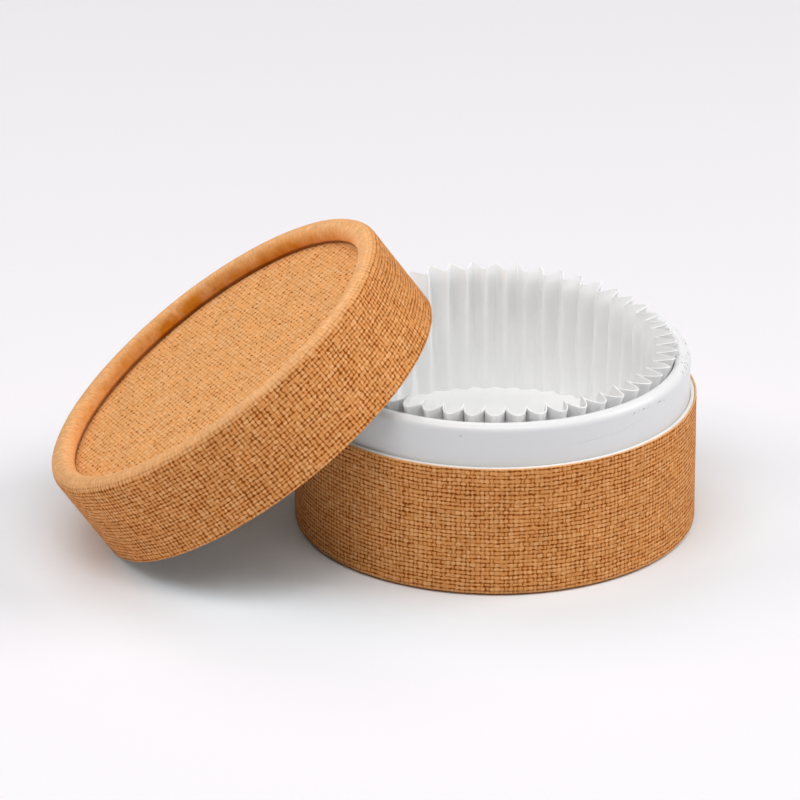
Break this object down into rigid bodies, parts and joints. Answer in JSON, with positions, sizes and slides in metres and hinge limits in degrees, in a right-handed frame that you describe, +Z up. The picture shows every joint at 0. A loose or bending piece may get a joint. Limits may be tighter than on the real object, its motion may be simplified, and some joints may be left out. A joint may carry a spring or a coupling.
{
  "type": "round paper gift box",
  "caption": "Round paper-wrapped box with its lid leaning against it, a white inner tub with a rolled rim and a fluted paper cup for sweets or small gifts.",
  "frame": {"origin": "centre of the base's underside, on the surface that the box stands on", "axes": "+Z up along the base's axis, +X away from the leaning lid, +Y to the back as the picture shows it"},
  "size_m": [0.1436, 0.1014, 0.0696],
  "materials": {
    "base_wrap": "matt kraft-brown paper with a coarse woven texture",
    "base_tube": "matt white card, only its cut edge showing",
    "base_disc": "grey board",
    "foot_paper": "plain matt kraft paper",
    "tub_wall": "white coated card, half gloss",
    "tub_floor": "white card",
    "paper_cup": "white greaseproof paper, slightly see-through",
    "lid_wrap": "matt kraft-brown paper with a coarse woven texture",
    "lid_tube": "matt white card",
    "lid_panel": "grey board",
    "panel_cover": "matt kraft-brown paper with a fine woven texture",
    "lid_ceiling": "matt white paper"
  },
  "bodies": {
    "base": {"base_wrap": "base_wrap", "base_tube": "base_tube", "base_disc": "base_disc", "foot_paper": "foot_paper", "tub_wall": "tub_wall", "tub_floor": "tub_floor"},
    "cup": {"paper_cup": "paper_cup"},
    "lid": {"lid_wrap": "lid_wrap", "lid_tube": "lid_tube", "lid_panel": "lid_panel", "panel_cover": "panel_cover", "lid_ceiling": "lid_ceiling"}
  },
  "joints": [
    {"name": "cup_lift", "type": "slide", "parent": "base", "child": "cup", "axis": [0, 0, 1], "range_m": [0, 0.045]},
    {"name": "lid_lift", "type": "slide", "parent": "cup", "child": "lid", "axis": [0, 0, 1], "range_m": [0, 0.06]}
  ]
}
